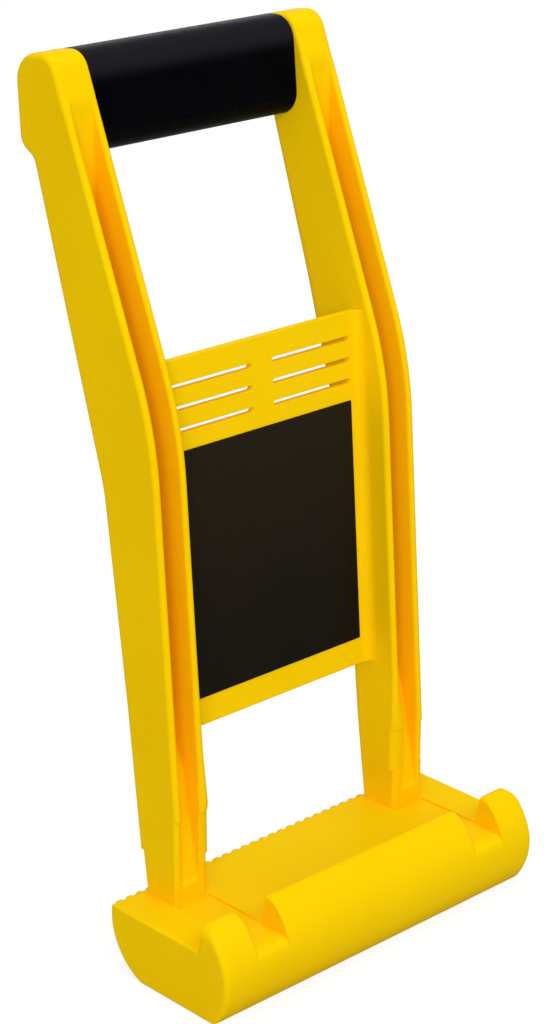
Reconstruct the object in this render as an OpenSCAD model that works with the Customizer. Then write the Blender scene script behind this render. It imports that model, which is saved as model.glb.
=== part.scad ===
// Panel carrier: a hand tool that hooks under the edge of a board so that one person can carry it.
// Frame: +X to the right, +Y to the back, +Z up. The origin is on the ground, in the middle of the
// foot's flat underside, below the centre of the rounded front.

/* [Foot] */
// Length of the foot
foot_len = 165; // [140:1:200]
// Height of the trough floor above the ground
foot_h = 27.2; // [22:0.2:32]
// Clear width of the trough, from the lip to the uprights
trough_w = 30.3; // [26:0.1:40]
// Height of the lip above the trough floor
lip_h = 12; // [8:0.2:16]
// Thickness of the lip at its crest
lip_crest_t = 2.2; // [1.6:0.1:3.5]
// How much the back of the lip leans forward over its height
lip_draft = 1.4; // [0.4:0.1:2.5]
// Distance from the centre line to the front of the lip's crest
crest_reach = 13.2; // [12:0.2:17]
// Distance from the centre line to the front edge of the underside
toe_reach = 17.5; // [14:0.5:20]
// Radius of the rocker back
rocker_r = 24.3; // [24:0.1:27]
// Height of the middle of the rocker's circle above the ground
rocker_mid = 23; // [20:0.1:23.5]
// Depth of the shallow runs in the trough floor in front of the uprights
run_sink = 0.8; // [0.4:0.1:1.5]
// Distance between the tread ribs on the rocker back
rib_pitch = 4.9; // [4:0.1:6]
// Width of a tread rib
rib_w = 2.4; // [1.6:0.1:3]
// How far the tread ribs stand out
rib_h = 0.8; // [0.4:0.1:2]
// Height at which the tread ribs end above the ground
rib_foot = 1; // [0.5:0.1:3]
// Wall left in front of, behind and at the ends of the cored pockets
foot_wall = 4; // [3:0.2:6]
// Thickness of the trough floor over the cored pockets
floor_t = 3.4; // [2.6:0.1:5]
// Number of cored pockets under the foot, an even number
pockets = 6; // [4:2:8]
// Thickness of the webs between the pockets
pocket_web = 3; // [2:0.2:5]

/* [Posts] */
// Height of the posts on the foot that the uprights stand on
post_h = 17; // [14:0.5:22]
// Depth of the posts at the trough floor
post_d = 16.9; // [15:0.1:20]
// How far the uprights stand out behind the posts
back_step = 1.3; // [0.6:0.1:2]
// Depth of the foot's ledge behind the posts
back_ledge = 2; // [1.2:0.1:4]
// Width of the tenons
tenon_w = 8.5; // [7:0.1:9]
// Depth of the tenons
tenon_d = 9; // [7.5:0.1:10]
// Distance from the front of the post to the tenon
tenon_back = 5.3; // [5:0.1:5.5]
// Clearance of the tenons in their sockets
tenon_gap = 0.15; // [0.1:0.05:0.3]
// Height of the flat front of the post below the groove
ledge_h = 7.5; // [5:0.5:10]
// Depth of the small ledge where the groove ends
ledge_d = 1.6; // [1:0.1:2]

/* [Uprights] */
// Clear width between the uprights
hand_w = 100.4; // [90:0.2:115]
// Width of an upright
upright_w = 16; // [15:0.1:18]
// Thickness of the wall beside the hand opening
inner_wall = 3.2; // [2.8:0.1:4]
// Thickness of the outer wall
outer_wall = 3.2; // [2.4:0.1:4]
// Thickness of the wall beside the hand opening below the step in the flanges, without its swell
low_wall = 4.2; // [4:0.1:5]
// Height of the slope over which that wall thins above the step
wall_slope = 2.5; // [1:0.1:5]
// How far the base of that wall swells into the hand opening
base_swell = 1.2; // [0.4:0.1:2]
// Thickness of the back wall behind the groove
back_wall = 4.2; // [3:0.1:6]
// Height of the bend in the back of the uprights
bend_h = 183.7; // [165:0.1:200]
// Lean of the back below the bend, in degrees
lower_lean = 7.4; // [5:0.1:9]
// Lean of the back above the bend, in degrees
upper_lean = 16.5; // [13:0.1:19]
// How much higher the bend in the front lies
front_bend_rise = 27.5; // [15:0.5:35]
// Depth of the uprights at the bend in the front
bend_d = 36.9; // [32:0.1:42]
// Depth of the uprights just below the head
neck_d = 27.8; // [25:0.1:32]
// How far the front flanges stand out from the front of the posts
flange_proud = 0.5; // [0.3:0.1:2]
// Height of the ramp below the flanges compared with how far they stand out
flange_ramp = 2; // [1:0.1:3]
// Height of the step in the flanges above the trough floor
flange_h = 35; // [30:1:40]
// Height of the groove's first ramp above the trough floor
ramp_h = 49.5; // [45:0.5:55]
// Depth of the groove at the top of its first ramp
ramp_d = 10.8; // [8:0.1:12]
// Height above the trough floor at which the groove reaches its full depth
full_h = 85.5; // [80:0.5:95]
// Radius at the foot of the flanges' ramp
ramp_low_r = 0.5; // [0.3:0.1:1]
// Radius at the top of the flanges' ramp
ramp_top_r = 1; // [0.5:0.1:2]
// Radius of the bend in the front
front_bend_r = 135; // [60:1:150]
// Radius of the bend in the back
back_bend_r = 80; // [60:1:100]

/* [Head and grip] */
// Overall height of the carrier, to the top of the heads
overall_h = 339.5; // [320:0.1:365]
// Fall of the top of the heads towards the back
head_fall = 2.4; // [0:0.1:4]
// How far the heads stand above the grip
head_crown = 1.4; // [0.8:0.1:2.5]
// How far the heads stand out behind the grip
head_rim = 1.4; // [0.6:0.1:2.5]
// Radius of the heads' upper front corner
head_front_r = 8; // [6:0.5:10]
// Radius of the heads' upper back corner
head_back_r = 11; // [8:0.5:12]
// Radius of the heads' lower back corner
head_low_r = 7; // [3:0.5:8]
// How far the back of the heads draws in towards its lower corner
head_taper = 1.5; // [0:0.1:2]
// Height of the heads' lower back corner above the underside of the grip
head_low_rise = 4; // [3:0.5:8]
// Radius where the heads meet the back of the uprights
neck_r = 5; // [1:0.5:6]
// Depth of the grip, front to back
grip_d = 22; // [20:0.2:26]
// Height of the grip's section
grip_h = 37.8; // [34:0.1:42]
// Corner radius of the grip compared with half its depth
grip_round = 0.86; // [0.5:0.02:0.94]
// Lean of the grip, in degrees
grip_lean = 5; // [0:0.5:6]
// Distance from the line of the uprights' back forward to the middle of the grip
grip_inset = 9.2; // [7:0.1:11]
// Wall of the grip sleeve
sleeve_t = 3; // [2:0.1:4]
// Clearance between the sleeve and the bar in it
sleeve_gap = 0.15; // [0.1:0.05:0.3]
// Thickness of the bar's middle web
core_web = 5; // [3:0.5:8]
// Height of the bar's upper and lower rails
core_rail = 5; // [3:0.5:8]
// Length of the bar's solid ends
core_end = 9; // [6:0.5:15]
// Distance from the grip's front to the floor of the groove beside it
groove_cover = 4.3; // [3:0.1:6]
// Depth of the bar's spigots, front to back
spigot_d = 10; // [8:0.2:11]
// Height of the spigots
spigot_h = 22; // [18:0.5:26]
// Length of the spigots
spigot_l = 9; // [7:0.5:10.5]
// Corner radius of the spigots
spigot_r = 2; // [1:0.5:3]
// Clearance of the spigots in their sockets
spigot_gap = 0.15; // [0.1:0.05:0.3]

/* [Cross plate] */
// Thickness of the cross plate
plate_t = 3; // [2:0.1:4]
// Height of the lower edge of the plate
plate_lo = 88.4; // [80:0.1:95]
// Height of the upper edge of the plate
plate_hi = 231.4; // [220:0.2:240]
// Lean of the plate, in degrees
plate_lean = 3.8; // [2:0.1:5]
// Distance from the front flanges back to the plate's front, at its lower edge
plate_setback = 13.4; // [11:0.1:15]
// Fillet between the plate and the uprights
plate_fillet = 4; // [2:0.5:4.5]
// Rows of slots
slot_rows = 3; // [1:1:4]
// Distance between the rows of slots
slot_pitch = 8.4; // [6:0.2:9]
// Height of a slot
slot_h = 1.8; // [1.4:0.1:4]
// Length of a slot
slot_l = 40; // [30:0.5:41]
// Width of the bar between the left and right slots
slot_bar = 10.6; // [8:0.2:14]
// Distance from the upper edge down to the first row of slots
slot_drop = 10.3; // [8:0.1:14]
// Height of a tongue at the plate's ends
tongue_h = 16; // [10:0.5:20]
// Distance from the edges of the plate to the nearer side of the tongues
tongue_edge = 20; // [16:0.5:30]
// Length of the tongues
tongue_l = 2.2; // [1.2:0.1:2.4]
// Clearance of the tongues in their blind sockets
tongue_gap = 0.15; // [0.1:0.05:0.3]

/* [Label] */
// Width of the label
label_w = 90; // [70:0.5:92]
// Height of the label
label_h = 97.5; // [60:0.5:100]
// Thickness of the label
label_t = 0.4; // [0.2:0.05:0.8]
// Distance from the lower edge of the plate to the label
label_lift = 11; // [6:0.5:14]

/* [Screws] */
// Radius of the foot screws
foot_screw_r = 1.75; // [1.5:0.05:2]
// Distance from the front of the tenons to the foot screws
foot_screw_inset = 3.5; // [3.2:0.1:4.5]
// Length of the foot screws below their heads
foot_screw_l = 25; // [18:0.5:28]
// Height of the seat of the foot screws above the ground
foot_screw_seat = 13.5; // [12.5:0.1:14]
// Thickness of the socket floor that the foot screws clamp
seat_t = 2.6; // [2:0.1:3]
// Radius of the head screws
head_screw_r = 1.6; // [1.4:0.05:1.8]
// Length of the head screws below their heads
head_screw_l = 11; // [8:0.5:12]
// Thickness of the socket wall that the head screws clamp
clamp_t = 3; // [2.5:0.1:3.5]
// Radius of a screw head compared with its shank
screw_head_ratio = 1.9; // [1.7:0.05:2.1]
// Height of a screw head
screw_head_h = 2.2; // [1.6:0.1:2.6]
// Clearance round the screws
screw_gap = 0.1; // [0.05:0.05:0.2]
// Length of the cross recess compared with the radius of the head
recess_l = 1.1; // [0.8:0.05:1.4]
// Width of the cross recess compared with the radius of the head
recess_w = 0.28; // [0.2:0.02:0.36]

/* [Hidden] */
$fn = 96;
// Overlap of cutting shapes past the faces that they cut
eps = 1;
// Reach of cutting shapes that only have to clear the part
far = 80;
// Points on a rounded corner
corner_steps = 10;
yellow = [0.96, 0.79, 0.04];
black = [0.05, 0.05, 0.06];
dark = [0.13, 0.11, 0.09];
steel = [0.72, 0.72, 0.74];

// Foot section
crest_z = foot_h + lip_h;
nose_z = (crest_reach * crest_reach - toe_reach * toe_reach + crest_z * crest_z) / (2 * crest_z);
nose_r = sqrt(toe_reach * toe_reach + nose_z * nose_z);
lip_crest_y = -crest_reach + lip_crest_t;
lip_root_y = lip_crest_y + lip_draft;
post_y = lip_root_y + trough_w;
post_back = post_y + post_d;
foot_back = post_back + back_ledge;
rocker_y = foot_back - rocker_r;
pocket_y0 = -toe_reach + foot_wall;
pocket_y1 = rocker_y + foot_wall;
pocket_x = (foot_len - 2 * foot_wall - (pockets - 1) * pocket_web) / pockets;
ribs = floor((foot_len - rib_w) / rib_pitch);

// Uprights, across
in_x = hand_w / 2;
out_x = in_x + upright_w;
mid_x = in_x + upright_w / 2;

// Uprights, side outline
post_top = foot_h + post_h;
bend_y = post_back + back_step + (bend_h - foot_h) * tan(lower_lean);
function back_y(z) = bend_y + (z - bend_h) * tan(z < bend_h ? lower_lean : upper_lean);
front_bend_z = bend_h + front_bend_rise;
front_bend_y = back_y(front_bend_z) - bend_d;
flange_y = post_y - flange_proud;
flange_z = foot_h + flange_h;
flange_slope = (front_bend_y - flange_y) / (front_bend_z - flange_z);
swell_top = plate_lo - plate_t;

// Grip and heads
grip_z = overall_h - head_crown - grip_h / 2;
grip_y = back_y(grip_z) - grip_inset;
neck_z = grip_z - grip_h / 2;
neck_y = back_y(neck_z) - neck_d;
head_slope = (neck_y - front_bend_y) / (neck_z - front_bend_z);
head_front_y = front_bend_y + head_slope * (overall_h - front_bend_z);
head_back_y = grip_y + grip_d / 2 + head_rim;
head_low_z = neck_z + head_low_rise;
groove_head_y = grip_y - grip_d / 2 - groove_cover;
groove_turn_z = bend_h + (groove_head_y + back_wall - bend_y) / tan(upper_lean);
grip_r = grip_round * grip_d / 2;
core_d = grip_d - 2 * (sleeve_t + sleeve_gap);
core_h = grip_h - 2 * (sleeve_t + sleeve_gap);
core_r = grip_r - sleeve_t - sleeve_gap;

// Tenons and their screws
tenon_y = post_y + tenon_back;
socket_z = foot_screw_seat + seat_t;
tenon_z = socket_z + tenon_gap;
foot_screw_y = tenon_y + foot_screw_inset;

// Cross plate
plate_y = flange_y + flange_slope * (plate_lo - flange_z) + plate_setback;
plate_len = (plate_hi - plate_lo) / cos(plate_lean);

// Rounded corner at c between the points p and n, as points of an arc; c holds [y, z, radius]
function corner(p, c, n) =
    let(
        a = [p[0] - c[0], p[1] - c[1]] / norm([p[0] - c[0], p[1] - c[1]]),
        b = [n[0] - c[0], n[1] - c[1]] / norm([n[0] - c[0], n[1] - c[1]]),
        half = acos(a * b) / 2,
        mid = (a + b) / norm(a + b),
        centre = [c[0], c[1]] + mid * c[2] / sin(half),
        start = [c[0], c[1]] + a * c[2] / tan(half) - centre,
        turn = 180 - 2 * half,
        way = a[0] * b[1] - a[1] * b[0] > 0 ? -1 : 1
    )
    c[2] == 0 ? [[c[0], c[1]]] : [
        for (i = [0 : corner_steps])
            let(t = way * turn * i / corner_steps)
            centre + [
                start[0] * cos(t) - start[1] * sin(t),
                start[0] * sin(t) + start[1] * cos(t)
            ]
    ];

// Outline with all its corners rounded
function rounded(pts) = [
    for (i = [0 : len(pts) - 1])
        each corner(pts[(i + len(pts) - 1) % len(pts)], pts[i], pts[(i + 1) % len(pts)])
];

// Side outline drawn in Y and Z, made solid from x0 to x1
module across(x0, x1) {
    translate([x0, 0, 0])
        rotate([90, 0, 90])
            linear_extrude(x1 - x0)
                children();
}

module both_sides() {
    children();
    mirror([1, 0, 0]) children();
}

module rounded_rect(d, h, r) {
    square([d - 2 * r, h], center = true);
    square([d, h - 2 * r], center = true);
    for (y = [-1, 1], z = [-1, 1])
        translate([y * (d / 2 - r), z * (h / 2 - r)])
            circle(r);
}

// Bar along X with a rounded section
module bar(l, d, h, r) {
    across(-l / 2, l / 2)
        rounded_rect(d, h, r);
}

module at_grip() {
    translate([0, grip_y, grip_z])
        rotate([-grip_lean, 0, 0])
            children();
}

module at_plate() {
    translate([0, plate_y, plate_lo])
        rotate([-plate_lean, 0, 0])
            children();
}

// Screw along +Z from the underside of its head, with a cross recess
module screw(r, l) {
    head_r = r * screw_head_ratio;
    cylinder(r = r, h = l);
    difference() {
        translate([0, 0, -screw_head_h]) cylinder(r = head_r, h = screw_head_h);
        for (a = [0, 90])
            translate([0, 0, -screw_head_h])
                rotate([0, 0, a])
                    cube([head_r * recess_l, head_r * recess_w, screw_head_h], center = true);
    }
}

// Space for a screw: pilot bore, clearance and a counterbore as long as reach
module screw_space(r, l, reach) {
    cylinder(r = r + screw_gap, h = l + screw_gap);
    translate([0, 0, -reach]) cylinder(r = r * screw_head_ratio + screw_gap, h = reach);
}

module at_foot_screw() {
    translate([mid_x, foot_screw_y, foot_screw_seat])
        children();
}

// Screws from behind: the seat lies clamp_t behind the socket of the spigot
module at_head_screw() {
    at_grip()
        translate([in_x + spigot_l / 2, spigot_d / 2 + spigot_gap + clamp_t, 0])
            rotate([90, 0, 0])
                children();
}

// Front-open groove of an upright, drawn past its front; it fades out below the grip's top
module groove_outline() {
    polygon([
        [post_y - far, foot_h + ledge_h],
        [post_y + ledge_d, foot_h + ledge_h],
        [flange_y + ramp_d, foot_h + ramp_h],
        [back_y(foot_h + full_h) - back_wall, foot_h + full_h],
        [bend_y - back_wall, bend_h],
        [groove_head_y, groove_turn_z],
        [groove_head_y, overall_h],
        [post_y - far, overall_h]
    ]);
}

// Front outline drawn in X and Z, made solid through the whole depth of the carrier
module front_to_back() {
    translate([0, 2 * far, 0])
        rotate([90, 0, 0])
            linear_extrude(3 * far)
                children();
}

// The groove's inner wall is thicker below the step in the flanges
module groove() {
    across(in_x + low_wall, out_x - outer_wall)
        groove_outline();
    intersection() {
        across(in_x + inner_wall, out_x - outer_wall)
            groove_outline();
        front_to_back()
            polygon([
                [in_x + low_wall, flange_z],
                [out_x, flange_z],
                [out_x, overall_h + eps],
                [in_x + inner_wall, overall_h + eps],
                [in_x + inner_wall, flange_z + wall_slope]
            ]);
    }
}

module upright_outline() {
    polygon(rounded([
        [post_y, post_top, 0],
        [post_y, flange_z - flange_ramp * flange_proud, ramp_low_r],
        [flange_y, flange_z, ramp_top_r],
        [front_bend_y, front_bend_z, front_bend_r],
        [head_front_y, overall_h, head_front_r],
        [head_back_y, overall_h - head_fall, head_back_r],
        [head_back_y - head_taper, head_low_z, head_low_r],
        [back_y(neck_z), neck_z, neck_r],
        [bend_y, bend_h, back_bend_r],
        [back_y(post_top), post_top, 0]
    ]));
}

// Swell of the inner wall: full height below the step in the flanges, gone below the cross plate
module base_swell_outline() {
    polygon([
        [in_x + inner_wall, post_top],
        [in_x - base_swell, post_top],
        [in_x - base_swell, flange_z],
        [in_x, swell_top],
        [in_x + inner_wall, swell_top]
    ]);
}

module swell() {
    intersection() {
        across(in_x - base_swell, in_x + inner_wall) upright_outline();
        front_to_back() base_swell_outline();
    }
}

module tenon(gap) {
    translate([mid_x - tenon_w / 2 - gap, tenon_y - gap, tenon_z - gap])
        cube([tenon_w + 2 * gap, tenon_d + 2 * gap, post_top - tenon_z + gap]);
}

module spigots(gap) {
    at_grip()
        bar(hand_w + 2 * (spigot_l + gap), spigot_d + 2 * gap, spigot_h + 2 * gap, spigot_r + gap);
}

// Tongues at the ends of the plate, in the plate's own frame
module tongues(gap) {
    for (z = [tongue_edge, plate_len - tongue_edge - tongue_h])
        translate([in_x - gap, -gap, z - gap])
            cube([tongue_l + 2 * gap, plate_t + 2 * gap, tongue_h + 2 * gap]);
}

module upright() {
    difference() {
        union() {
            across(in_x, out_x) upright_outline();
            swell();
            tenon(0);
        }
        groove();
        spigots(spigot_gap);
        at_plate() tongues(tongue_gap);
        at_foot_screw() screw_space(foot_screw_r, foot_screw_l, eps);
        at_head_screw() screw_space(head_screw_r, head_screw_l, far);
    }
}

module left_upright() {
    color(yellow) mirror([1, 0, 0]) upright();
}

module right_upright() {
    color(yellow) upright();
}

// Rounded front with the lip
module foot_front() {
    intersection() {
        translate([0, nose_z]) circle(nose_r);
        polygon([
            [0, 0],
            [0, foot_h],
            [lip_root_y, foot_h],
            [lip_crest_y, crest_z],
            [-2 * nose_r, crest_z],
            [-2 * nose_r, 0]
        ]);
    }
}

// Middle and rocker back
module foot_rear() {
    intersection() {
        union() {
            translate([rocker_y, rocker_mid]) circle(rocker_r);
            square([rocker_y, foot_h]);
        }
        square([foot_back, foot_h]);
    }
}

module tread_ribs() {
    intersection() {
        for (i = [0 : ribs - 1])
            translate([(i - (ribs - 1) / 2) * rib_pitch - rib_w / 2, rocker_y, rocker_mid])
                rotate([0, 90, 0])
                    cylinder(r = rocker_r + rib_h, h = rib_w);
        translate([-foot_len / 2, rocker_y + foot_wall, rib_foot])
            cube([foot_len, far, foot_h - rib_foot]);
    }
}

// Post that carries an upright, flush with it at the front and on the outer side
module post() {
    across(in_x, out_x)
        polygon([
            [post_y, foot_h - eps],
            [post_back, foot_h - eps],
            [post_back, foot_h],
            [back_y(post_top) - back_step, post_top],
            [post_y, post_top]
        ]);
}

// Shallow run in front of an upright, which also cuts the gap in the lip
module run() {
    translate([in_x, -far, foot_h - run_sink])
        cube([upright_w, far + post_y, far]);
}

module cored_pockets() {
    for (i = [0 : pockets - 1])
        translate([(i - pockets / 2) * (pocket_x + pocket_web) + pocket_web / 2, pocket_y0, -eps])
            cube([pocket_x, pocket_y1 - pocket_y0, foot_h - floor_t + eps]);
}

module foot() {
    color(yellow)
        difference() {
            union() {
                across(-foot_len / 2, foot_len / 2) {
                    foot_front();
                    foot_rear();
                }
                tread_ribs();
                both_sides() post();
            }
            cored_pockets();
            both_sides() {
                run();
                groove();
                tenon(tenon_gap);
                at_foot_screw() screw_space(foot_screw_r, foot_screw_l, far);
            }
        }
}

// Rounded-end slot through the plate, starting at x
module slot(x, z) {
    for (end = [x + slot_h / 2, x + slot_l - slot_h / 2])
        translate([end, -eps, z])
            rotate([-90, 0, 0])
                cylinder(r = slot_h / 2, h = plate_t + 2 * eps);
    translate([x + slot_h / 2, -eps, z - slot_h / 2])
        cube([slot_l - slot_h, plate_t + 2 * eps, slot_h]);
}

// Fillet along the plate's end, in front of it
module end_fillet() {
    difference() {
        translate([in_x - plate_fillet, -plate_fillet, 0])
            cube([plate_fillet, plate_fillet, plate_len]);
        translate([in_x - plate_fillet, -plate_fillet, -eps])
            cylinder(r = plate_fillet, h = plate_len + 2 * eps);
    }
}

module cross_plate() {
    color(yellow)
        at_plate()
            difference() {
                union() {
                    translate([-in_x, 0, 0]) cube([hand_w, plate_t, plate_len]);
                    both_sides() {
                        end_fillet();
                        tongues(0);
                    }
                }
                both_sides()
                    for (i = [0 : slot_rows - 1])
                        slot(slot_bar / 2, plate_len - slot_drop - i * slot_pitch);
            }
}

module label_panel() {
    color(dark)
        at_plate()
            translate([-label_w / 2, -label_t, label_lift])
                cube([label_w, label_t, label_h]);
}

// Bar in the grip: cored from the front and the back, solid at its ends
module handle_core() {
    color(yellow)
        difference() {
            union() {
                at_grip() bar(hand_w, core_d, core_h, core_r);
                spigots(0);
            }
            at_grip()
                for (side = [-1, 1])
                    translate([0, side * (core_web + core_d) / 2, 0])
                        cube([hand_w - 2 * core_end, core_d, core_h - 2 * core_rail], center = true);
            both_sides() at_head_screw() screw_space(head_screw_r, head_screw_l, eps);
        }
}

module grip_sleeve() {
    color(black)
        at_grip()
            difference() {
                bar(hand_w, grip_d, grip_h, grip_r);
                bar(hand_w + 2 * eps, core_d + 2 * sleeve_gap, core_h + 2 * sleeve_gap, core_r + sleeve_gap);
            }
}

module foot_screws() {
    color(steel)
        both_sides()
            at_foot_screw()
                screw(foot_screw_r, foot_screw_l);
}

module head_screws() {
    color(steel)
        both_sides()
            at_head_screw()
                screw(head_screw_r, head_screw_l);
}

foot();
left_upright();
right_upright();
cross_plate();
label_panel();
handle_core();
grip_sleeve();
foot_screws();
head_screws();
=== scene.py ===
# Looks of the panel carrier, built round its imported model.
# Shapes are worked out in millimetres, in the part's own frame, and become metres in the meshes.
# An outline is a list of (y, z); a table is a list of (place, value).
# NEAR is the tolerance for places in millimetres, WELD the one for vertices in metres.
import math

import bmesh
import bpy
from mathutils import Matrix, Vector


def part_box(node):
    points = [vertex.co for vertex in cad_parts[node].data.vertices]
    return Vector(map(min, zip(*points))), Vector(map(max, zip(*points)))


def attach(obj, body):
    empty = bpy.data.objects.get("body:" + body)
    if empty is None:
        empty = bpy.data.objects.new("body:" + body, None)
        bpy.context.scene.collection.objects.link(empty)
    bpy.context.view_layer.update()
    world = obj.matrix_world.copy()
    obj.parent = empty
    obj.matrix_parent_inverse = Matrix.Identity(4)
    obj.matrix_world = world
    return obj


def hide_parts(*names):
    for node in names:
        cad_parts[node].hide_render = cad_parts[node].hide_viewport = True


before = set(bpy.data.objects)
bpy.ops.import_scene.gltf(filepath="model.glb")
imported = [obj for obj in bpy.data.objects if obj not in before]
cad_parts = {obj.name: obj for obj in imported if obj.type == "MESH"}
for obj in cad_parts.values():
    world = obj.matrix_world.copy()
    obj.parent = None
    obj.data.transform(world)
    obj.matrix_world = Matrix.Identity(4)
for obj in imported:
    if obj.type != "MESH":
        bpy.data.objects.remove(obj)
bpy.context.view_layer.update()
MM = 0.001
NEAR = 0.01
WELD = 2e-6
FORWARD = Vector((-1, 0))
BACKWARD = Vector((1, 0))


def extent(node):
    """Low and high corner of a CAD node's box, in millimetres."""
    low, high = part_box(node)
    return low / MM, high / MM


# Sizes read from the frame
half_foot = extent("foot")[1].x
out_x = extent("right_upright")[1].x
grip_low, grip_high = extent("grip_sleeve")
screw_low, screw_high = extent("foot_screws")
in_x = grip_high.x
mid_x = (in_x + out_x) / 2
grip_y = (grip_low.y + grip_high.y) / 2
grip_z = (grip_low.z + grip_high.z) / 2
foot_screw_y = (screw_low.y + screw_high.y) / 2

# Section of the foot
foot_h = 27.2
lip_h = 12.0
lip_crest_t = 2.2
lip_least_t = 0.3
lip_draft = 1.4
crest_reach = 13.2
toe_reach = 17.5
trough_w = 30.3
rocker_r = 24.3
rocker_mid = 23.0
run_sink = 0.8
toe_r = 1.2
crest_front_r = 2.0
crest_back_r = 1.1
lip_root_r = 1.2
foot_back_r = 1.0
heel_r = 3.0
floor_cuts = [0, 8, 16, 27, 33]

# Pockets under the foot
foot_wall = 4.0
floor_t = 3.4
pockets = 6
pocket_web = 3.0
pocket_slope = 0.3
pocket_cuts = [5, -5]

# Tread ribs; their side is a table of distance from the edge and share of the height
rib_pitch = 4.9
rib_w = 2.4
rib_h = 0.8
rib_side = [(-0.45, 1), (-0.12, 0.8), (0.1, 0)]
rib_foot = 1.0
rib_fade = 0.8
rib_near = 0.4

# Posts and uprights
post_h = 17.0
post_d = 16.9
post_root = 2.0
post_slit = 0.02
back_step = 1.3
back_ledge = 2.0
ledge_h = 7.5
ledge_d = 1.6
ledge_slant = 0.05
inner_wall = 3.2
outer_wall = 3.2
low_wall = 4.2
wall_slope = 14.0
base_swell = 1.2
back_wall = 4.2
bend_h = 183.7
lower_lean = math.radians(7.4)
upper_lean = math.radians(16.5)
front_bend_rise = 27.5
front_bend_r = 135.0
back_bend_r = 80.0
bend_d = 36.9
neck_d = 27.8
neck_r = 5.0
flange_proud = 0.5
flange_ramp = 2.0
flange_step_r = 0.5
flange_h = 35.0
ramp_h = 49.5
ramp_d = 10.8
full_h = 85.5

# Heads and grip
overall_h = 339.5
head_fall = 2.4
head_rim = 1.4
head_taper = 1.5
head_low_rise = 4.0
head_front_r = 8.0
head_back_r = 11.0
head_low_r = 7.0
grip_d = 22.0
grip_h = 37.8
grip_r = 9.46
grip_lean = math.radians(5.0)
groove_cover = 4.3

# Bores for the screws
bore_l = 40.0
spigot_l = 9.0
head_seat = 8.15
head_bore_r = 3.14
foot_seat = 13.5
foot_bore_r = 3.425

# Cross plate and label
plate_lo = 88.4
plate_t = 3.0
plate_lean = math.radians(3.8)
plate_setback = 13.4
label_t = 0.4
label_lift = 11.0
label_w = 90.0
label_h = 97.5
label_r = 0.5

# Softness of the uprights' edges, in part as tables by height
front_edge_out = 1.9
front_edge_in = [(62.0, 1.5), (90.0, 1.6), (130.0, 2.0), (300.0, 2.0)]
low_edge_in = 2.4
low_edge_rise = 2.0
back_edge_out = [(44.0, 1.0), (100.0, 2.8), (300.0, 2.8)]
back_edge_in = [(44.0, 3.8), (88.0, 4.2), (200.0, 5.5), (240.0, 6.0), (300.0, 3.4)]
head_edge_out = 2.4
head_edge_in = 1.8
head_blend = 25.0
groove_edge = 1.5
low_groove_edge = 0.4
groove_fillet = 1.6
groove_slant = 0.02
post_front_in = 1.9
post_front_out = 1.4
post_back_in = 0.3
post_back_out = 1.2
post_back_near = 0.2

# Softness of the foot's and the plate's edges
nose_end_edge = [(1.0, 0.9), (5.0, 2.4), (20.0, 1.8), (29.0, 2.6), (34.0, 2.6)]
crest_end_drop = 6.5
crest_gap_drop = 2.4
run_front_edge = 4.0
floor_end_edge = 1.2
floor_near = 0.5
low_end_edge = 0.9
back_end_edge = 0.5
end_edge_rate = 0.25
gap_edge = 0.8
gap_slit = 0.03
gap_edge_from = 0.5
gap_edge_blend = 1.5
run_edge = 0.25
plate_edge = 0.3

# Derived places
crest_z = foot_h + lip_h
nose_z = (crest_reach**2 - toe_reach**2 + crest_z**2) / (2 * crest_z)
nose_r = math.hypot(toe_reach, nose_z)
lip_crest_y = -crest_reach + lip_crest_t
lip_root_y = lip_crest_y + lip_draft
post_y = lip_root_y + trough_w
post_back = post_y + post_d
foot_back = post_back + back_ledge
rocker_y = foot_back - rocker_r
run_z = foot_h - run_sink
run_front = -math.sqrt(nose_r**2 - (run_z - nose_z) ** 2)
pocket_y0 = -toe_reach + foot_wall
pocket_y1 = rocker_y + foot_wall
pocket_x = (2 * half_foot - 2 * foot_wall - (pockets - 1) * pocket_web) / pockets
pocket_mid = [(i - (pockets - 1) / 2) * (pocket_x + pocket_web) for i in range(pockets)]
rib_count = math.floor((2 * half_foot - rib_w) / rib_pitch)
rib_mid = [(i - (rib_count - 1) / 2) * rib_pitch for i in range(rib_count)]
rib_shape = [(rib_w / 2 + at, risen) for at, risen in rib_side]
post_top = foot_h + post_h
bend_y = post_back + back_step + (bend_h - foot_h) * math.tan(lower_lean)
flange_y = post_y - flange_proud
flange_z = foot_h + flange_h


def back_y(z):
    """Back of the uprights at a height."""
    return bend_y + (z - bend_h) * math.tan(lower_lean if z < bend_h else upper_lean)


front_bend_z = bend_h + front_bend_rise
front_bend_y = back_y(front_bend_z) - bend_d
neck_z = grip_z - grip_h / 2
neck_y = back_y(neck_z) - neck_d
head_slope = (neck_y - front_bend_y) / (neck_z - front_bend_z)
head_front_y = front_bend_y + head_slope * (overall_h - front_bend_z)
head_back_y = grip_y + grip_d / 2 + head_rim
groove_head_y = grip_y - grip_d / 2 - groove_cover
groove_turn_z = bend_h + (groove_head_y + back_wall - bend_y) / math.tan(upper_lean)
flange_slope = (front_bend_y - flange_y) / (front_bend_z - flange_z)
plate_y = flange_y + flange_slope * (plate_lo - flange_z) + plate_setback
mouth_in = in_x + inner_wall
mouth_out = out_x - outer_wall

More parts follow.
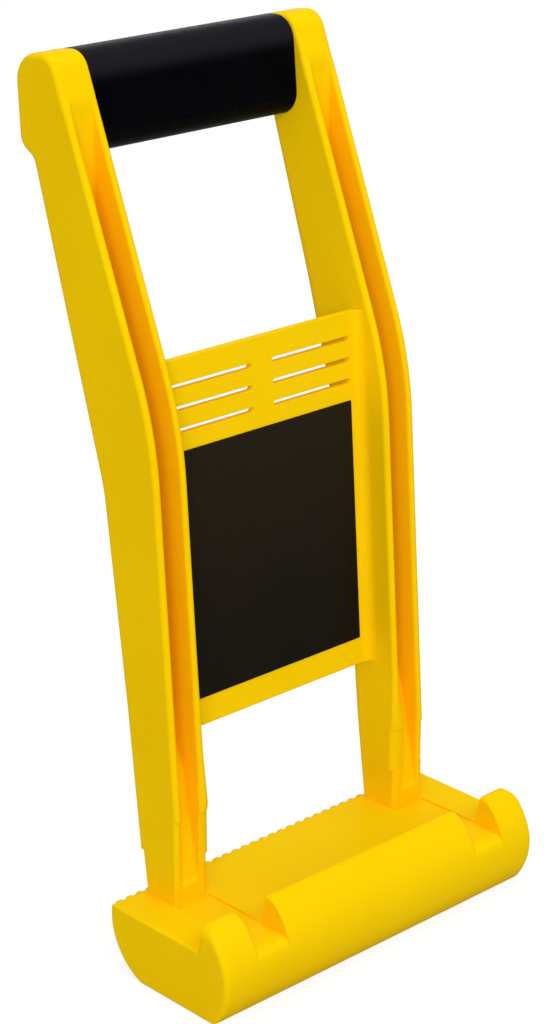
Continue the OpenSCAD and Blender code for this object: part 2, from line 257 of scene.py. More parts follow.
# Tables by height: the inner wall's swell and thickening, its edge, and the groove's floor
swell = [(flange_z, base_swell), (plate_lo - plate_t, 0)]
no_swell = [(foot_h, 0), (post_top, 0)]
thick = [(flange_z, low_wall - inner_wall), (flange_z + wall_slope, 0)]
inner_lip = [(flange_z, low_groove_edge), (flange_z + wall_slope, groove_edge)]
groove_floor = [
    (foot_h + ledge_h - ledge_slant, post_y),
    (foot_h + ledge_h + ledge_slant, post_y + ledge_d),
    (foot_h + ramp_h, flange_y + ramp_d),
    (foot_h + full_h, back_y(foot_h + full_h) - back_wall),
    (bend_h, bend_y - back_wall),
    (groove_turn_z, groove_head_y),
    (overall_h, groove_head_y),
]


# Outlines, tables and edges
def rounded(corners, steps=6):
    """Points of a closed outline whose corners (y, z, radius) are rounded."""
    points = []
    for i, (y, z, radius) in enumerate(corners):
        tip = Vector((y, z))
        if radius == 0:
            points.append(tip)
            continue
        a = (Vector(corners[i - 1][:2]) - tip).normalized()
        b = (Vector(corners[(i + 1) % len(corners)][:2]) - tip).normalized()
        half = a.angle(b) / 2
        centre = tip + (a + b).normalized() * radius / math.sin(half)
        start = tip + a * radius / math.tan(half) - centre
        way = -1 if a.x * b.y > a.y * b.x else 1
        for k in range(steps + 1):
            turn = way * (math.pi - 2 * half) * k / steps
            points.append(centre + Matrix.Rotation(turn, 2) @ start)
    return points


def arc(y, z, radius, first, last, count):
    """Points of an arc between two angles in degrees, as corners without radius."""
    angles = [math.radians(first + (last - first) * k / count) for k in range(count + 1)]
    return [(y + radius * math.cos(a), z + radius * math.sin(a), 0) for a in angles]


def dense(points, step):
    """The same outline with no stretch longer than about step."""
    fine = []
    for a, b in zip(points, points[1:] + points[:1]):
        count = max(1, math.ceil((b - a).length / step))
        fine += [a.lerp(b, k / count) for k in range(count)]
    return fine


def outward(points, least=0.3):
    """Outward direction at each point, long enough to move both sides evenly, within a limit."""
    area = sum(a.x * b.y - a.y * b.x for a, b in zip(points, points[1:] + points[:1]))
    way = 1 if area > 0 else -1
    sides = [(b - a).normalized() for a, b in zip(points, points[1:] + points[:1])]
    normals = []
    for i in range(len(points)):
        m = Vector((sides[i - 1].y, -sides[i - 1].x)) * way
        n = Vector((sides[i].y, -sides[i].x)) * way
        normals.append((m + n) / max(1 + m.dot(n), least))
    return normals


def between(table, at):
    """Value at a place in a table."""
    for (p, u), (q, v) in zip(table, table[1:]):
        if at <= q:
            return u + (v - u) * max(0, at - p) / (q - p)
    return table[-1][1]


def most(table):
    """Largest value in a table."""
    return max(value for _, value in table)


def share(value):
    """The value, held between 0 and 1."""
    return min(1, max(0, value))


def ordered(places):
    """Places in rising order, each of them once."""
    return sorted(set(round(place, 3) for place in places))


def easing(distance, radius):
    """How far a rounded edge draws in at a distance from the face where it ends."""
    if distance >= radius:
        return 0.0
    away = radius - max(distance, 0)
    return radius - math.sqrt(max(radius**2 - away**2, 0))


def edge_steps(radius, start=0.0):
    """Distances from a face at which a rounded edge is cut into facets."""
    return [start + radius * (1 - math.sin(math.radians(a))) for a in range(90, -1, -18)]


# Meshes
def linked(name, data):
    """New object in the scene."""
    obj = bpy.data.objects.new(name, data)
    bpy.context.scene.collection.objects.link(obj)
    return obj


def placed(name, bm):
    """New object whose mesh is bm, which is used up."""
    mesh = bpy.data.meshes.new(name)
    bm.to_mesh(mesh)
    bm.free()
    return linked(name, mesh)


def shell(name, loops, levels=()):
    """Closed mesh through equal loops of points, with flat ends, cut at levels of Z."""
    bm = bmesh.new()
    grid = [[bm.verts.new(Vector(p) * MM) for p in loop] for loop in loops]
    count = len(grid[0])
    for a, b in zip(grid, grid[1:]):
        for i in range(count):
            j = (i + 1) % count
            bm.faces.new((a[i], a[j], b[j], b[i]))
    bm.faces.new(grid[0][::-1])
    bm.faces.new(grid[-1])
    bmesh.ops.remove_doubles(bm, verts=bm.verts, dist=WELD)
    bmesh.ops.dissolve_degenerate(bm, edges=bm.edges, dist=WELD)
    for z in levels:
        whole = bm.verts[:] + bm.edges[:] + bm.faces[:]
        bmesh.ops.bisect_plane(
            bm, geom=whole, dist=WELD / 2, plane_co=(0, 0, z * MM), plane_no=(0, 0, 1)
        )
    caps = [f for f in bm.faces if len(f.verts) > 4]
    bmesh.ops.triangulate(bm, faces=caps, ngon_method="EAR_CLIP")
    bmesh.ops.recalc_face_normals(bm, faces=bm.faces)
    return placed(name, bm)


def mirrored(loops):
    """The loops on the other side of the part."""
    return [[(-x, y, z) for x, y, z in loop] for loop in loops]


def baked(obj):
    """Turns an object's modifiers into its mesh."""
    bpy.context.view_layer.update()
    graph = bpy.context.evaluated_depsgraph_get()
    mesh = bpy.data.meshes.new_from_object(obj.evaluated_get(graph))
    obj.modifiers.clear()
    obj.data = mesh
    return obj


def combined(obj, other, operation):
    """Joins or cuts obj with other, which is used up."""
    step = obj.modifiers.new(operation.lower(), "BOOLEAN")
    step.operation = operation
    step.solver = "EXACT"
    step.object = other
    baked(obj)
    bpy.data.objects.remove(other)
    return obj


def shaded(obj, sharp=38):
    """Smooth shading that keeps flat faces flat, and edges above an angle in degrees sharp."""
    bm = bmesh.new()
    bm.from_mesh(obj.data)
    for face in bm.faces:
        face.smooth = True
    for edge in bm.edges:
        edge.smooth = edge.calc_face_angle(0) < math.radians(sharp)
    bm.to_mesh(obj.data)
    bm.free()
    step = obj.modifiers.new("normals", "WEIGHTED_NORMAL")
    step.keep_sharp = True
    step.weight = 80
    baked(obj)
    level_ends(obj.data, math.cos(math.radians(sharp)))
    return obj


def level_ends(mesh, limit, flat=0.99999):
    """Gives the flat ends across X, and the edges that roll into them, one even direction."""
    way = {}
    for face in mesh.polygons:
        if abs(face.normal.x) > flat:
            end = Vector((math.copysign(1, face.normal.x), 0, 0))
            way.update((v, end) for v in face.vertices)
    normals = [Vector(n.vector) for n in mesh.corner_normals]
    for face in mesh.polygons:
        for corner, v in zip(face.loop_indices, face.vertices):
            if v in way and face.normal.dot(way[v]) > limit:
                normals[corner] = way[v]
    mesh.normals_split_custom_set(normals)


def bore(radius, seat, way):
    """Cylinder that runs from the seat of a screw's head out of the part."""
    bm = bmesh.new()
    bmesh.ops.create_cone(
        bm, cap_ends=True, segments=48, radius1=radius * MM, radius2=radius * MM, depth=bore_l * MM
    )
    turn = way.to_track_quat("Z", "Y").to_matrix().to_4x4()
    centre = (seat + way * bore_l / 2) * MM
    bmesh.ops.transform(bm, matrix=Matrix.Translation(centre) @ turn, verts=bm.verts)
    return placed("bore", bm)


def finished(obj, node, look):
    """Gives a piece its look and puts it in the place of its CAD node."""
    obj.data.materials.clear()
    obj.data.materials.append(look)
    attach(obj, "root")
    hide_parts(node)
    return obj


# Materials
NOISE_LOW = 0.3
NOISE_HIGH = 0.7


def new_look(name):
    """New material, with its nodes, its shader and the place on the piece."""
    look = bpy.data.materials.new(name)
    look.use_nodes = True
    tree = look.node_tree
    shader = tree.nodes["Principled BSDF"]
    place = tree.nodes.new("ShaderNodeTexCoord")
    return look, tree, shader, place


def noise(tree, place, scale, detail=2):
    """Noise from about NOISE_LOW to about NOISE_HIGH; the scale is per metre."""
    node = tree.nodes.new("ShaderNodeTexNoise")
    node.inputs["Scale"].default_value = scale
    node.inputs["Detail"].default_value = detail
    node.inputs["Roughness"].default_value = 0.5
    tree.links.new(place.outputs["Object"], node.inputs["Vector"])
    return node.outputs["Fac"]


def ramp(tree, source, low, low_colour, high, high_colour):
    """Colours between two values of the source."""
    node = tree.nodes.new("ShaderNodeValToRGB")
    stops = ((low, low_colour), (high, high_colour))
    for element, (at, colour) in zip(node.color_ramp.elements, stops):
        element.position = at
        element.color = (*colour, 1)
    tree.links.new(source, node.inputs["Fac"])
    return node.outputs["Color"]


def clouds(tree, place, scale, low_colour, high_colour):
    """Two close colours in soft clouds."""
    source = noise(tree, place, scale, detail=3)
    return ramp(tree, source, NOISE_LOW, low_colour, NOISE_HIGH, high_colour)


def mixed(tree, factor, a, b):
    """A mix of two colours, each of them fixed or an output."""
    node = tree.nodes.new("ShaderNodeMix")
    node.data_type = "RGBA"
    tree.links.new(factor, node.inputs["Factor"])
    for name, colour in (("A", a), ("B", b)):
        if isinstance(colour, tuple):
            node.inputs[name].default_value = (*colour, 1)
        else:
            tree.links.new(colour, node.inputs[name])
    return node.outputs["Result"]


def spread(tree, source, low, high):
    """Noise spread between two values."""
    node = tree.nodes.new("ShaderNodeMapRange")
    node.inputs["From Min"].default_value = NOISE_LOW
    node.inputs["From Max"].default_value = NOISE_HIGH
    node.inputs["To Min"].default_value = low
    node.inputs["To Max"].default_value = high
    tree.links.new(source, node.inputs["Value"])
    return node.outputs["Result"]


def bump(tree, source, strength, depth):
    """Grain; the depth is in metres."""
    node = tree.nodes.new("ShaderNodeBump")
    node.inputs["Strength"].default_value = strength
    node.inputs["Distance"].default_value = depth
    tree.links.new(source, node.inputs["Height"])
    return node.outputs["Normal"]


def height(tree, place, low, high):
    """Rises from 0 to 1 between two heights in millimetres."""
    parts = tree.nodes.new("ShaderNodeSeparateXYZ")
    tree.links.new(place.outputs["Object"], parts.inputs["Vector"])
    node = tree.nodes.new("ShaderNodeMapRange")
    node.interpolation_type = "SMOOTHSTEP"
    node.inputs["From Min"].default_value = low * MM
    node.inputs["From Max"].default_value = high * MM
    tree.links.new(parts.outputs["Z"], node.inputs["Value"])
    return node.outputs["Result"]


def opened(tree, distance, low, high):
    """Rises from 0 in the piece's own nooks to 1 in the open."""
    node = tree.nodes.new("ShaderNodeAmbientOcclusion")
    node.only_local = True
    node.samples = 8
    node.inputs["Distance"].default_value = distance
    return ramp(tree, node.outputs["AO"], low, (0, 0, 0), high, (1, 1, 1))


def dressed(tree, shader, colour, gloss, grain):
    """Links the colour, the gloss and the grain of a look to its shader."""
    tree.links.new(colour, shader.inputs["Base Color"])
    tree.links.new(gloss, shader.inputs["Roughness"])
    tree.links.new(grain, shader.inputs["Normal"])


def plastic_look():
    """Yellow plastic, with orange bounce light painted into the nooks where the piece shades
    itself.
    """
    look, tree, shader, place = new_look("moulded_yellow")
    plain_yellow = clouds(tree, place, 22, (0.875, 0.560, 0.0012), (0.905, 0.588, 0.0018))
    painted_bounce_mask = opened(tree, distance=0.045, low=0.35, high=0.88)
    # The orange colour is painted bounce light: it fills the piece's own nooks, found by ambient
    # occlusion, and the open surfaces keep the plain yellow.
    colour = mixed(tree, painted_bounce_mask, (1.0, 0.55, 0.0012), plain_yellow)
    gloss = spread(tree, noise(tree, place, scale=90, detail=4), low=0.36, high=0.46)
    grain = bump(tree, noise(tree, place, scale=1500), strength=0.10, depth=0.0001)
    dressed(tree, shader, colour, gloss, grain)
    shader.inputs["Specular IOR Level"].default_value = 0.005
    return look


def rubber_look():
    """Black rubber with a painted sheen that makes its upper side a little lighter."""
    sheen_from, sheen_full = grip_z + 6.5, grip_z + 13.5
    look, tree, shader, place = new_look("grip_rubber")
    dark = clouds(tree, place, 60, (0.0006, 0.0007, 0.0015), (0.0012, 0.0013, 0.0024))
    painted_sheen_mask = height(tree, place, sheen_from, sheen_full)
    # The lighter colour on the upper side is a painted sheen, standing for light from above on the
    # rounded top.
    colour = mixed(tree, painted_sheen_mask, dark, (0.0105, 0.0098, 0.0130))
    gloss = spread(tree, noise(tree, place, scale=350, detail=4), low=0.34, high=0.44)
    grain = bump(tree, noise(tree, place, scale=2600), strength=0.25, depth=0.0001)
    dressed(tree, shader, colour, gloss, grain)
    shader.inputs["Specular IOR Level"].default_value = 0.02
    return look


def label_look():
    """Dark film with a painted reflection that makes it a little lighter towards its top."""
    label_lo = plate_lo + label_lift
    look, tree, shader, place = new_look("label_film")
    dark = clouds(tree, place, 30, (0.0070, 0.0053, 0.0028), (0.0090, 0.0068, 0.0037))
    painted_sheen_mask = height(tree, place, label_lo, label_lo + label_h)
    # The lighter colour towards the top is a painted reflection on the film.
    colour = mixed(tree, painted_sheen_mask, dark, (0.0160, 0.0118, 0.0058))
    gloss = spread(tree, noise(tree, place, scale=140, detail=3), low=0.26, high=0.34)
    grain = bump(tree, noise(tree, place, scale=700), strength=0.05, depth=0.0001)
    dressed(tree, shader, colour, gloss, grain)
    shader.inputs["Specular IOR Level"].default_value = 0.03
    return look


def steel_look():
    """Bright steel of the screws."""
    look, tree, shader, place = new_look("screw_steel")
    colour = clouds(tree, place, 400, (0.50, 0.50, 0.51), (0.62, 0.62, 0.63))
    gloss = spread(tree, noise(tree, place, scale=400, detail=3), low=0.24, high=0.38)
    grain = bump(tree, noise(tree, place, scale=3000), strength=0.08, depth=0.00005)
    dressed(tree, shader, colour, gloss, grain)
    shader.inputs["Metallic"].default_value = 1.0
    return look


yellow = plastic_look()
rubber = rubber_look()
film = label_look()
steel = steel_look()


# Channels: a side outline with a front-open groove, for the uprights and their posts
def channel_sections():
    """Places along X at which a channel is cut: finer where its edges are rounded."""
    xs = []
    for radius in (most(front_edge_in), most(back_edge_in)):
        xs += [in_x + d for d in edge_steps(radius)]
    for radius in (front_edge_out, most(back_edge_out)):
        xs += [out_x - d for d in edge_steps(radius)]
    for radius in (groove_edge, low_groove_edge):
        xs += [mouth_in - d for d in edge_steps(radius)]
    xs += [mouth_in + d for d in edge_steps(groove_fillet, groove_slant)]
    xs += [mouth_out + d for d in edge_steps(groove_edge)]
    xs += [mouth_out - d for d in edge_steps(groove_fillet, groove_slant)]
    return ordered(x for x in xs if in_x <= x <= out_x)


def channel(spots):
    """Loops of a channel; a spot is (point, outward, place, edge_in, edge_out)."""
    loops = []
    for x in channel_sections():
        loop = []
        for p, n, place, edge_in, edge_out in spots:
            y, z = p - n * max(easing(x - in_x, edge_in), easing(out_x - x, edge_out))
            floor_y = between(groove_floor, p.y)
            depth = max(0, floor_y - p.x)
            if place != "back" and mouth_in < x < mouth_out:
                fillet = min(groove_fillet, depth / 2)
                y = max(y, floor_y - easing(min(x - mouth_in, mouth_out - x), fillet))
            elif place == "front" and depth > 0:
                lip = min(between(inner_lip, p.y) if x < mouth_in else groove_edge, depth / 2)
                y += easing(max(mouth_in - x, x - mouth_out), lip)
            loop.append((x, y, z))
        loops.append(loop)
    return loops


def swelled(obj, opening):
    """Swells the base of the inner wall into the groove, and by a table into the hand opening."""
    for v in obj.data.vertices:
        z = v.co.z / MM
        inner, outer = -between(opening, z), between(thick, z)
        moves = [(0, inner), (inner_wall, outer), (2 * inner_wall, 0)]
        v.co.x += math.copysign(MM, v.co.x) * between(moves, abs(v.co.x) / MM - in_x)
    return obj


def upright_loops():
    """Loops of the right upright."""
    corners = [
        (post_y, post_top, 0),
        (post_y, flange_z - flange_ramp * flange_proud, flange_step_r),
        (flange_y, flange_z, 0),
        (flange_y + wall_slope * flange_slope, flange_z + wall_slope, 0),
        (front_bend_y, front_bend_z, front_bend_r),
        (head_front_y, overall_h, head_front_r),
        (head_back_y, overall_h - head_fall, head_back_r),
        (head_back_y - head_taper, neck_z + head_low_rise, head_low_r),
        (back_y(neck_z), neck_z, neck_r),
        (bend_y, bend_h, back_bend_r),
        (back_y(post_top), post_top, 0),
    ]
    points = dense(rounded(corners, steps=8), step=3.0)
    normals = outward(points)
    top = max(range(len(points)), key=lambda i: points[i].y)
    spots = []
    for i, (p, n) in enumerate(zip(points, normals)):
        y, z = p
        in_head = share((z - neck_z) / head_blend)
        edge_out = between(back_edge_out, z)
        edge_out += (head_edge_out - edge_out) * in_head
        edge_in = between(back_edge_in, z)
        edge_in += (head_edge_in - edge_in) * in_head
        if z < post_top + NEAR:
            if i == 0:
                spots.append((p, FORWARD, "front", low_edge_in, front_edge_out))
            elif abs(y - back_y(post_top)) < NEAR:
                spots.append((p, BACKWARD, "back", edge_in, edge_out))
        elif i >= top or y > between(groove_floor, z):
            place = "back" if i >= top else "end"
            spots.append((p, n, place, edge_in, edge_out))
        else:
            is_low = z < flange_z + low_edge_rise
            front_in = low_edge_in if is_low else between(front_edge_in, z)
            spots.append((p, n, "front", front_in, front_edge_out))
    return channel(spots)


def post_loops():
    """Loops of the right post, from inside the foot up to the upright."""
    corners = [
        (post_y, foot_h - post_root, 0),
        (post_y, post_top, 0),
        (back_y(post_top) - back_step, post_top, 0),
        (post_back, foot_h, 0),
        (post_back, foot_h - post_root, 0),
    ]
    spots = []
    for p in dense(rounded(corners), step=1.5):
        back = post_back + (p.y - foot_h) * math.tan(lower_lean)
        if p.x < post_y + NEAR:
            spots.append((p, FORWARD, "front", post_front_in, post_front_out))
        elif p.x > back - post_back_near:
            spots.append((p, BACKWARD, "back", post_back_in, post_back_out))
        else:
            spots.append((p, Vector((0, 0)), "end", 0, 0))
    return channel(spots)


# Uprights, with a bore for the screw behind each head
head_way = Vector((0, math.cos(grip_lean), -math.sin(grip_lean)))
for side, way in (("right", 1), ("left", -1)):
    loops = upright_loops() if way > 0 else mirrored(upright_loops())
    upright = swelled(shell(side + "_upright_moulding", loops, [z for z, _ in swell]), swell)
    seat = Vector((way * (in_x + spigot_l / 2), grip_y, grip_z)) + head_way * head_seat
    combined(upright, bore(head_bore_r, seat, head_way), "DIFFERENCE")
    finished(shaded(upright), side + "_upright", yellow)


# Foot: its section along X, with lip gaps, runs, tread ribs and cored pockets
def foot_outline():
    """Points of the foot's section."""
    toe = math.degrees(math.atan2(-nose_z, -toe_reach))
    crest = math.degrees(math.atan2(crest_z - nose_z, -crest_reach)) - 360
    heel_y = rocker_y + math.sqrt(rocker_r**2 - rocker_mid**2)
    heel = math.degrees(math.atan2(-rocker_mid, heel_y - rocker_y))
    edge = math.degrees(math.asin((foot_h - rocker_mid) / rocker_r))
    nose = arc(0, nose_z, nose_r, toe, crest, count=16)
    rocker = arc(rocker_y, rocker_mid, rocker_r, edge, heel, count=18)
    floor_ys = sorted(floor_cuts + [post_y - post_slit, post_y + post_slit])
    pocket_ys = [pocket_y1, pocket_y1 - pocket_slope, *pocket_cuts]
    pocket_ys += [pocket_y0 + pocket_slope, pocket_y0]
    corners = [(*nose[0][:2], toe_r), *nose[1:-1], (*nose[-1][:2], crest_front_r)]
    corners += [(lip_crest_y, crest_z, crest_back_r), (lip_root_y, foot_h, lip_root_r)]
    corners += [(y, foot_h, 0) for y in floor_ys]
    corners += [(rocker[0][0], foot_h, foot_back_r), *rocker[1:-1], (heel_y, 0, heel_r)]
    corners += [(y, 0, 0) for y in pocket_ys]
    return rounded(corners, steps=4)


def foot_sections():
    """Places along X at which the foot is cut: finer where its edges are rounded."""
    xs = [in_x + gap_slit, out_x - gap_slit]
    for radius in (most(nose_end_edge), crest_end_drop, low_end_edge):
        xs += [half_foot - d for d in edge_steps(radius)]
    for radius in (gap_edge, crest_gap_drop):
        xs += [in_x - d for d in edge_steps(radius)]
        xs += [out_x + d for d in edge_steps(radius)]
    xs += [-x for x in xs]
    for mid in rib_mid:
        xs += [mid + s * at for at, _ in rib_shape for s in (-1, 1)]
    for mid in pocket_mid:
        xs += [mid + s * (pocket_x / 2 - d) for d in (0, pocket_slope) for s in (-1, 1)]
    return ordered(xs)


def foot_end_edge(p, n):
    """Radius of the foot's end edge at a point of its section."""
    if p.x < lip_crest_y and n.x < 0:
        return between(nose_end_edge, p.y)
    largest = floor_end_edge if p.y > foot_h - floor_near else low_end_edge
    to_back = math.hypot(foot_back - p.x, foot_h - p.y)
    return min(largest, back_end_edge + end_edge_rate * to_back)


def foot_loop(x, points, normals):
    """The foot's section at a place along X."""
    to_end = half_foot - abs(x)
    to_run = max(in_x - abs(x), abs(x) - out_x)
    in_run = in_x + NEAR < abs(x) < out_x - NEAR
    rib = max(between(rib_shape, abs(x - mid)) for mid in rib_mid)
    hollow = max(share((pocket_x / 2 - abs(x - mid)) / pocket_slope) for mid in pocket_mid)
    loop = []
    for p, n in zip(points, normals):
        # Edges at the ends and along the runs
        draw = easing(to_end, foot_end_edge(p, n))
        if p.y > run_z and p.x < post_y and not in_run:
            in_lip = share((p.y - foot_h - gap_edge_from) / gap_edge_blend)
            draw = max(draw, easing(to_run, run_edge + (gap_edge - run_edge) * in_lip))
        y, z = p - n * draw
        # The lip keeps its draft at the back and ends in a rounded crest
        if p.x < lip_root_y and p.y > foot_h:
            line = lip_root_y - (z - foot_h) / lip_h * lip_draft
            line -= easing(to_end, floor_end_edge)
            y = min(y, line - lip_least_t) if n.x < 0 else max(y, min(p.x, line))
        z = min(z, crest_z - easing(to_end, crest_end_drop))
        if not in_run:
            z = min(z, crest_z - easing(to_run, crest_gap_drop))
        elif p.x < post_y and p.y > run_z - run_front_edge / 2:
            z = min(z, run_z - easing(p.x - run_front, run_front_edge) / 2)
        # Ribs stand out from the rocker, and pockets are sunk from below
        out = p - Vector((rocker_y, rocker_mid))
        on_rocker = out.x > 0 and p.y < foot_h + NEAR and out.length > rocker_r - rib_near
        if rib and on_rocker:
            grown = rib_h * rib * share((p.y - rib_foot + rib_fade / 2) / rib_fade)
            y += out.normalized().x * grown
            z += out.normalized().y * grown
        over_pocket = pocket_y0 + pocket_slope / 2 < p.x < pocket_y1 - pocket_slope / 2
        if hollow and abs(p.y) < NEAR and over_pocket:
            z = hollow * (foot_h - floor_t)
        loop.append((x, y, z))
    return loop


foot_points = foot_outline()
foot_normals = outward(foot_points)
foot_loops = [foot_loop(x, foot_points, foot_normals) for x in foot_sections()]
foot = shell("foot_moulding", foot_loops)
for loops in (post_loops(), mirrored(post_loops())):
    combined(foot, swelled(shell("post", loops), no_swell), "UNION")
for way in (1, -1):
    seat = Vector((way * mid_x, foot_screw_y, foot_seat))
    combined(foot, bore(foot_bore_r, seat, Vector((0, 0, -1))), "DIFFERENCE")
finished(shaded(foot), "foot", yellow)


# Cross plate: the CAD plate with softened edges
def softened(node, name, width, least=40, greatest=130):
    """A CAD piece whose edges between two angles in degrees are rounded."""
    bm = bmesh.new()
    bm.from_mesh(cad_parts[node].data)
    bmesh.ops.remove_doubles(bm, verts=bm.verts, dist=WELD)
    bmesh.ops.dissolve_limit(bm, verts=bm.verts, edges=bm.edges, angle_limit=math.radians(1))
    low, high = math.radians(least), math.radians(greatest)
    square = [e for e in bm.edges if low < e.calc_face_angle(0) < high]
    bmesh.ops.bevel(
        bm, geom=square, offset=width * MM, offset_type="OFFSET", segments=3, profile=0.5,
        affect="EDGES",
    )
    return shaded(placed(name, bm))


plate = softened("cross_plate", "cross_plate_moulding", plate_edge)
finished(plate, "cross_plate", yellow)


# Label: a thin film on the front of the plate, with rounded corners and a soft edge
# The edge is a table of the height over the plate and how far the film draws in there.
label_edge = [(0, 0), (label_t - 0.15, 0), (label_t - 0.04, 0.06), (label_t, 0.2)]


def at_plate(x, out, up):
    """Place on the leaning plate, from its lower edge up and out from its front."""
    turn = Matrix.Rotation(-plate_lean, 3, "X")
    return turn @ Vector((x, -out, up)) + Vector((0, plate_y, plate_lo))


def label_loops():
    """Loops of the label, from the plate outward."""
    w, h, r = label_w / 2, label_h, label_r
    outline = rounded([(-w, 0, r), (w, 0, r), (w, h, r), (-w, h, r)])
    normals = outward(outline)
    loops = []
    for out, draw in label_edge:
        flat = [p - n * draw for p, n in zip(outline, normals)]
        loops.append([at_plate(p.x, out, p.y + label_lift) for p in flat])
    return loops


label = shaded(shell("label_film", label_loops()))
finished(label, "label_panel", film)

# Grip: a rubber sleeve with short staggered dashes on its front and back
dash_pitch = 4.8
dash_l = 3.0
dash_row = 2.3
dash_w = 1.0
dash_h = 0.28
dash_end = 0.3
dash_margin = 8.0
dash_low = -13.0
dash_high = 10.5
plain_cuts = 8
grip_end_edge = 0.35
grip_sharp = 60


def grip_front(at):
    """Point of the sleeve's front at a distance along it from its middle."""
    flat = grip_h / 2 - grip_r
    bend = math.copysign(max(0, abs(at) - flat), at) / grip_r
    straight = max(-flat, min(flat, at))
    y = -grip_d / 2 + grip_r * (1 - math.cos(bend))
    return y, straight + grip_r * math.sin(bend)


def grip_columns():
    """Points of the sleeve's section, each with its row of dashes and 1 on top of a dash."""
    reach = grip_h / 2 - grip_r + grip_r * math.pi / 2
    count = int((dash_high - dash_low) / dash_row)
    last = dash_low + count * dash_row
    rows = [(-reach + (dash_low + reach) * k / plain_cuts, 0, 0) for k in range(plain_cuts)]
    for k in range(count):
        mid = dash_low + (k + 0.5) * dash_row
        rows += [(mid - dash_w / 2, k, 0), (mid - dash_w / 4, k, 1)]
        rows += [(mid + dash_w / 4, k, 1), (mid + dash_w / 2, k, 0)]
    above = [(reach + (last - reach) * k / plain_cuts, 0, 0) for k in range(plain_cuts)]
    rows += reversed(above)
    front = [(*grip_front(at), row, on) for at, row, on in rows]
    back = [(-y, z, row, on) for y, z, row, on in reversed(front)]
    return front + back


def grip_loops():
    """Loops of the sleeve, from left to right."""
    columns = grip_columns()
    normals = outward([Vector(c[:2]) for c in columns])
    last = in_x - dash_margin
    starts = []
    at = -last
    while at + dash_l <= last:
        starts.append(at)
        at += dash_pitch / 2
    xs = [s * (in_x - d) for d in edge_steps(grip_end_edge) for s in (-1, 1)]
    for start in starts:
        xs += [start, start + dash_end, start + dash_l - dash_end, start + dash_l]
    turn = Matrix.Rotation(-grip_lean, 2)
    loops = []
    for x in ordered(xs):
        loop = []
        for (y, z, row, on), n in zip(columns, normals):
            p = Vector((y, z)) - n * easing(in_x - abs(x), grip_end_edge)
            if on:
                inside = max(min(x - s, s + dash_l - x) for s in starts[row % 2 :: 2])
                p += n * dash_h * share(inside / dash_end)
            p = turn @ p
            loop.append((x, p.x + grip_y, p.y + grip_z))
        loops.append(loop)
    return loops


grip = shaded(shell("grip_rubber", grip_loops()), grip_sharp)
finished(grip, "grip_sleeve", rubber)

# Pieces that stay as the CAD made them
for node, look in (("handle_core", yellow), ("foot_screws", steel), ("head_screws", steel)):
    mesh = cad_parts[node].data
    mesh.materials.clear()
    mesh.materials.append(look)


# Floor and background
def floor_look(grey, glow, glow_share):
    """Grey floor that also glows white to the camera, so that only a light shadow shows."""
    look = bpy.data.materials.new("studio_floor")
    look.use_nodes = True
    tree = look.node_tree
    tree.nodes.clear()
    end = tree.nodes.new("ShaderNodeOutputMaterial")
    mix = tree.nodes.new("ShaderNodeMixShader")
    plain = tree.nodes.new("ShaderNodeBsdfDiffuse")
    white = tree.nodes.new("ShaderNodeEmission")
    plain.inputs["Color"].default_value = (grey, grey, grey, 1)
    white.inputs["Color"].default_value = (1, 1, 1, 1)
    white.inputs["Strength"].default_value = glow
    ray = tree.nodes.new("ShaderNodeLightPath")
    seen = tree.nodes.new("ShaderNodeMath")
    seen.operation = "MULTIPLY"
    seen.inputs[1].default_value = glow_share
    tree.links.new(ray.outputs["Is Camera Ray"], seen.inputs[0])
    tree.links.new(seen.outputs["Value"], mix.inputs["Fac"])
    tree.links.new(plain.outputs["BSDF"], mix.inputs[1])
    tree.links.new(white.outputs["Emission"], mix.inputs[2])
    tree.links.new(mix.outputs["Shader"], end.inputs["Surface"])
    return look


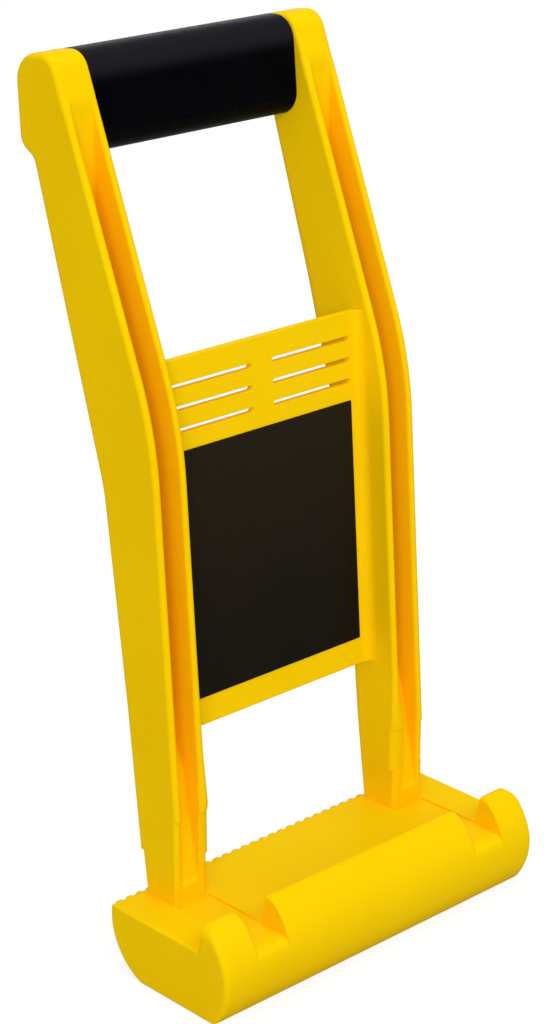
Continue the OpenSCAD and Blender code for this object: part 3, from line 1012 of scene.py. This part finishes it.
def make_floor(radius):
    """Round floor; the radius is in metres."""
    bm = bmesh.new()
    bmesh.ops.create_circle(bm, cap_ends=True, radius=radius, segments=96)
    floor = placed("floor", bm)
    floor.data.materials.append(floor_look(grey=0.55, glow=1.34, glow_share=0.62))


def make_world(level):
    """World that lights at a level and that the camera, also through glass, sees as white."""
    world = bpy.data.worlds.new("studio")
    bpy.context.scene.world = world
    world.use_nodes = True
    tree = world.node_tree
    back = tree.nodes["Background"]
    back.inputs["Color"].default_value = (1, 1, 1, 1)
    ray = tree.nodes.new("ShaderNodeLightPath")
    seen = tree.nodes.new("ShaderNodeMath")
    seen.operation = "MAXIMUM"
    tree.links.new(ray.outputs["Is Camera Ray"], seen.inputs[0])
    tree.links.new(ray.outputs["Is Transmission Ray"], seen.inputs[1])
    strength = tree.nodes.new("ShaderNodeMapRange")
    strength.inputs["To Min"].default_value = level
    strength.inputs["To Max"].default_value = 1.0
    tree.links.new(seen.outputs["Value"], strength.inputs["Value"])
    tree.links.new(strength.outputs["Result"], back.inputs["Strength"])


def make_lamp(name, place, size, power):
    """Round lamp, in metres and watts, turned to the middle of the part."""
    middle = Vector((0, 0.04, 0.17))
    data = bpy.data.lights.new(name, "AREA")
    data.shape = "DISK"
    data.size = size
    data.energy = power
    lamp = linked(name, data)
    lamp.location = place
    lamp.rotation_euler = (middle - Vector(place)).to_track_quat("-Z", "Y").to_euler()


make_floor(radius=6.0)
make_world(level=0.48)
make_lamp("key", (0.0, -1.8, 1.9), size=1.2, power=15)
make_lamp("top", (0.1, 0.1, 2.3), size=1.6, power=17.5)
make_lamp("fill", (-1.65, -1.5, 1.0), size=1.2, power=23)
make_lamp("rim", (1.5, 1.5, 0.9), size=1.2, power=3)

# Camera at the photograph's angle, for an image of 544 by 1024
image_h = 1024
focal_px = 2669.3
camera_down = 20.89
camera_turn = 43.21
camera = bpy.data.cameras.new("camera")
camera.sensor_width = 36
camera.lens = focal_px / image_h * camera.sensor_width
camera.clip_end = 50
eye = linked("camera", camera)
eye.location = (-0.6439, -0.6466, 0.5223)
eye.rotation_euler = (math.radians(90 - camera_down), 0, math.radians(-camera_turn))
bpy.context.scene.camera = eye
bpy.context.scene.view_settings.view_transform = "Standard"
